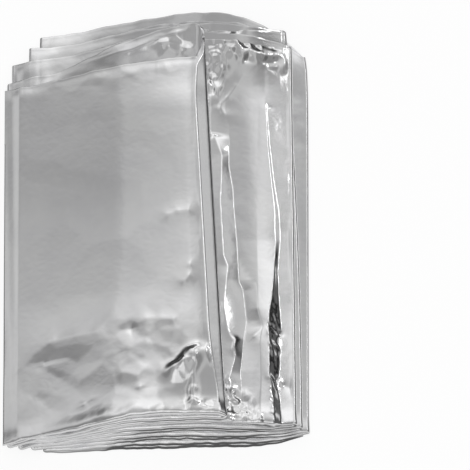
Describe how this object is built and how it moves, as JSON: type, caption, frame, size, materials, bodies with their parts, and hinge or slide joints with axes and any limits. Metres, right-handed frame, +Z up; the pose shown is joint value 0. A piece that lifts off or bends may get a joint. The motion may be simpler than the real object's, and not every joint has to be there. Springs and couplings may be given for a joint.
{
  "type": "folded emergency foil blanket",
  "caption": "Emergency blanket of thin metallised film, pleated back and forth into a flat pack with stepped far ends and a raised fold on top.",
  "frame": {"origin": "on the resting face, below the middle of the pack's box", "axes": "+X across the pack from the left folds to the right folds, +Y along the folds from the near end to the stepped far end, +Z up"},
  "size_m": [0.128, 0.2142, 0.0301],
  "materials": {
    "metallised_film": "bright metallised plastic film, finely crinkled"
  },
  "bodies": {
    "root": {"foil_blanket": "metallised_film"}
  },
  "joints": []
}
